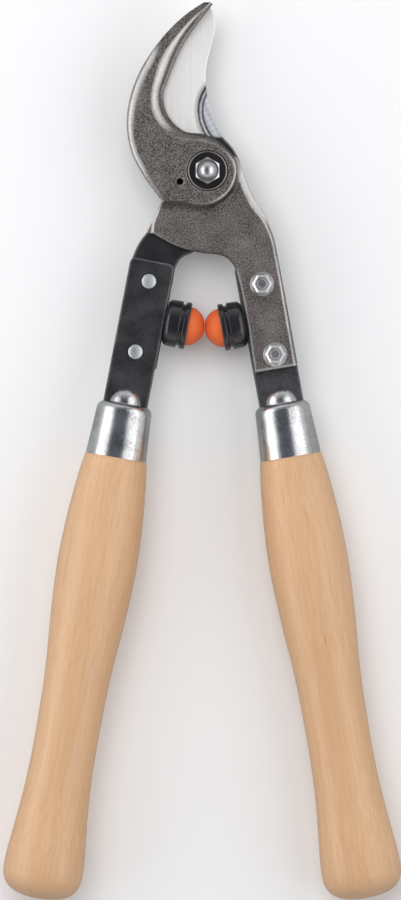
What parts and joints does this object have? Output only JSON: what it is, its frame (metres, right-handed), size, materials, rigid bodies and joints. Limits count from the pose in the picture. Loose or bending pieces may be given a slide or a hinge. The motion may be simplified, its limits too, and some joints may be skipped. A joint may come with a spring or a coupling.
{
  "type": "bypass lopping shears",
  "caption": "Two-handed bypass pruning shears with a hooked counter blade, a curved cutting blade, rubber stop buffers and turned wooden handles.",
  "frame": {"origin": "bottom centre of the bounding box, with the tool lying flat and the jaws shut", "axes": "+Y from the handle butts to the jaw tips, +X towards the handle bolted to the hooked counter blade, +Z out of the front face, which carries the pivot's cap nut"},
  "size_m": [0.2224, 0.5006, 0.0495],
  "materials": {
    "forged_steel": "dark forged and shot-blasted steel, satin, with bright worn edges",
    "blade_steel": "fine-ground bright steel, black oxide on the disc and the arm",
    "black_steel": "black oxide, satin",
    "zinc_steel": "bright zinc plate",
    "ferrule_steel": "bright zinc-plated drawn steel",
    "black_rubber": "moulded black rubber, satin",
    "orange_rubber": "moulded orange rubber, satin",
    "beech": "turned pale beech, clear satin varnish"
  },
  "bodies": {
    "hook_side": {"hook_jaw": "forged_steel", "pivot_bolt": "zinc_steel", "pivot_cap_nut": "zinc_steel", "pivot_lock_washer": "black_steel", "pivot_spring_washer": "black_steel", "right_tang_bar": "black_steel", "right_arm_bolts": "zinc_steel", "right_arm_nuts": "zinc_steel", "right_ferrule": "ferrule_steel", "right_handle": "beech", "right_buffer_cup": "black_rubber", "right_buffer_ball": "orange_rubber", "right_buffer_screw": "zinc_steel"},
    "blade_side": {"cutting_blade": "blade_steel", "left_tang_bar": "black_steel", "left_arm_bolts": "zinc_steel", "left_arm_nuts": "zinc_steel", "left_ferrule": "ferrule_steel", "left_handle": "beech", "left_buffer_cup": "black_rubber", "left_buffer_ball": "orange_rubber", "left_buffer_screw": "zinc_steel"}
  },
  "joints": [
    {"name": "pivot", "type": "hinge", "parent": "hook_side", "child": "blade_side", "pos_m": [0.00293, 0.15653, 0.02475], "axis": [0, 0, -1], "range_deg": [0, 60]}
  ]
}
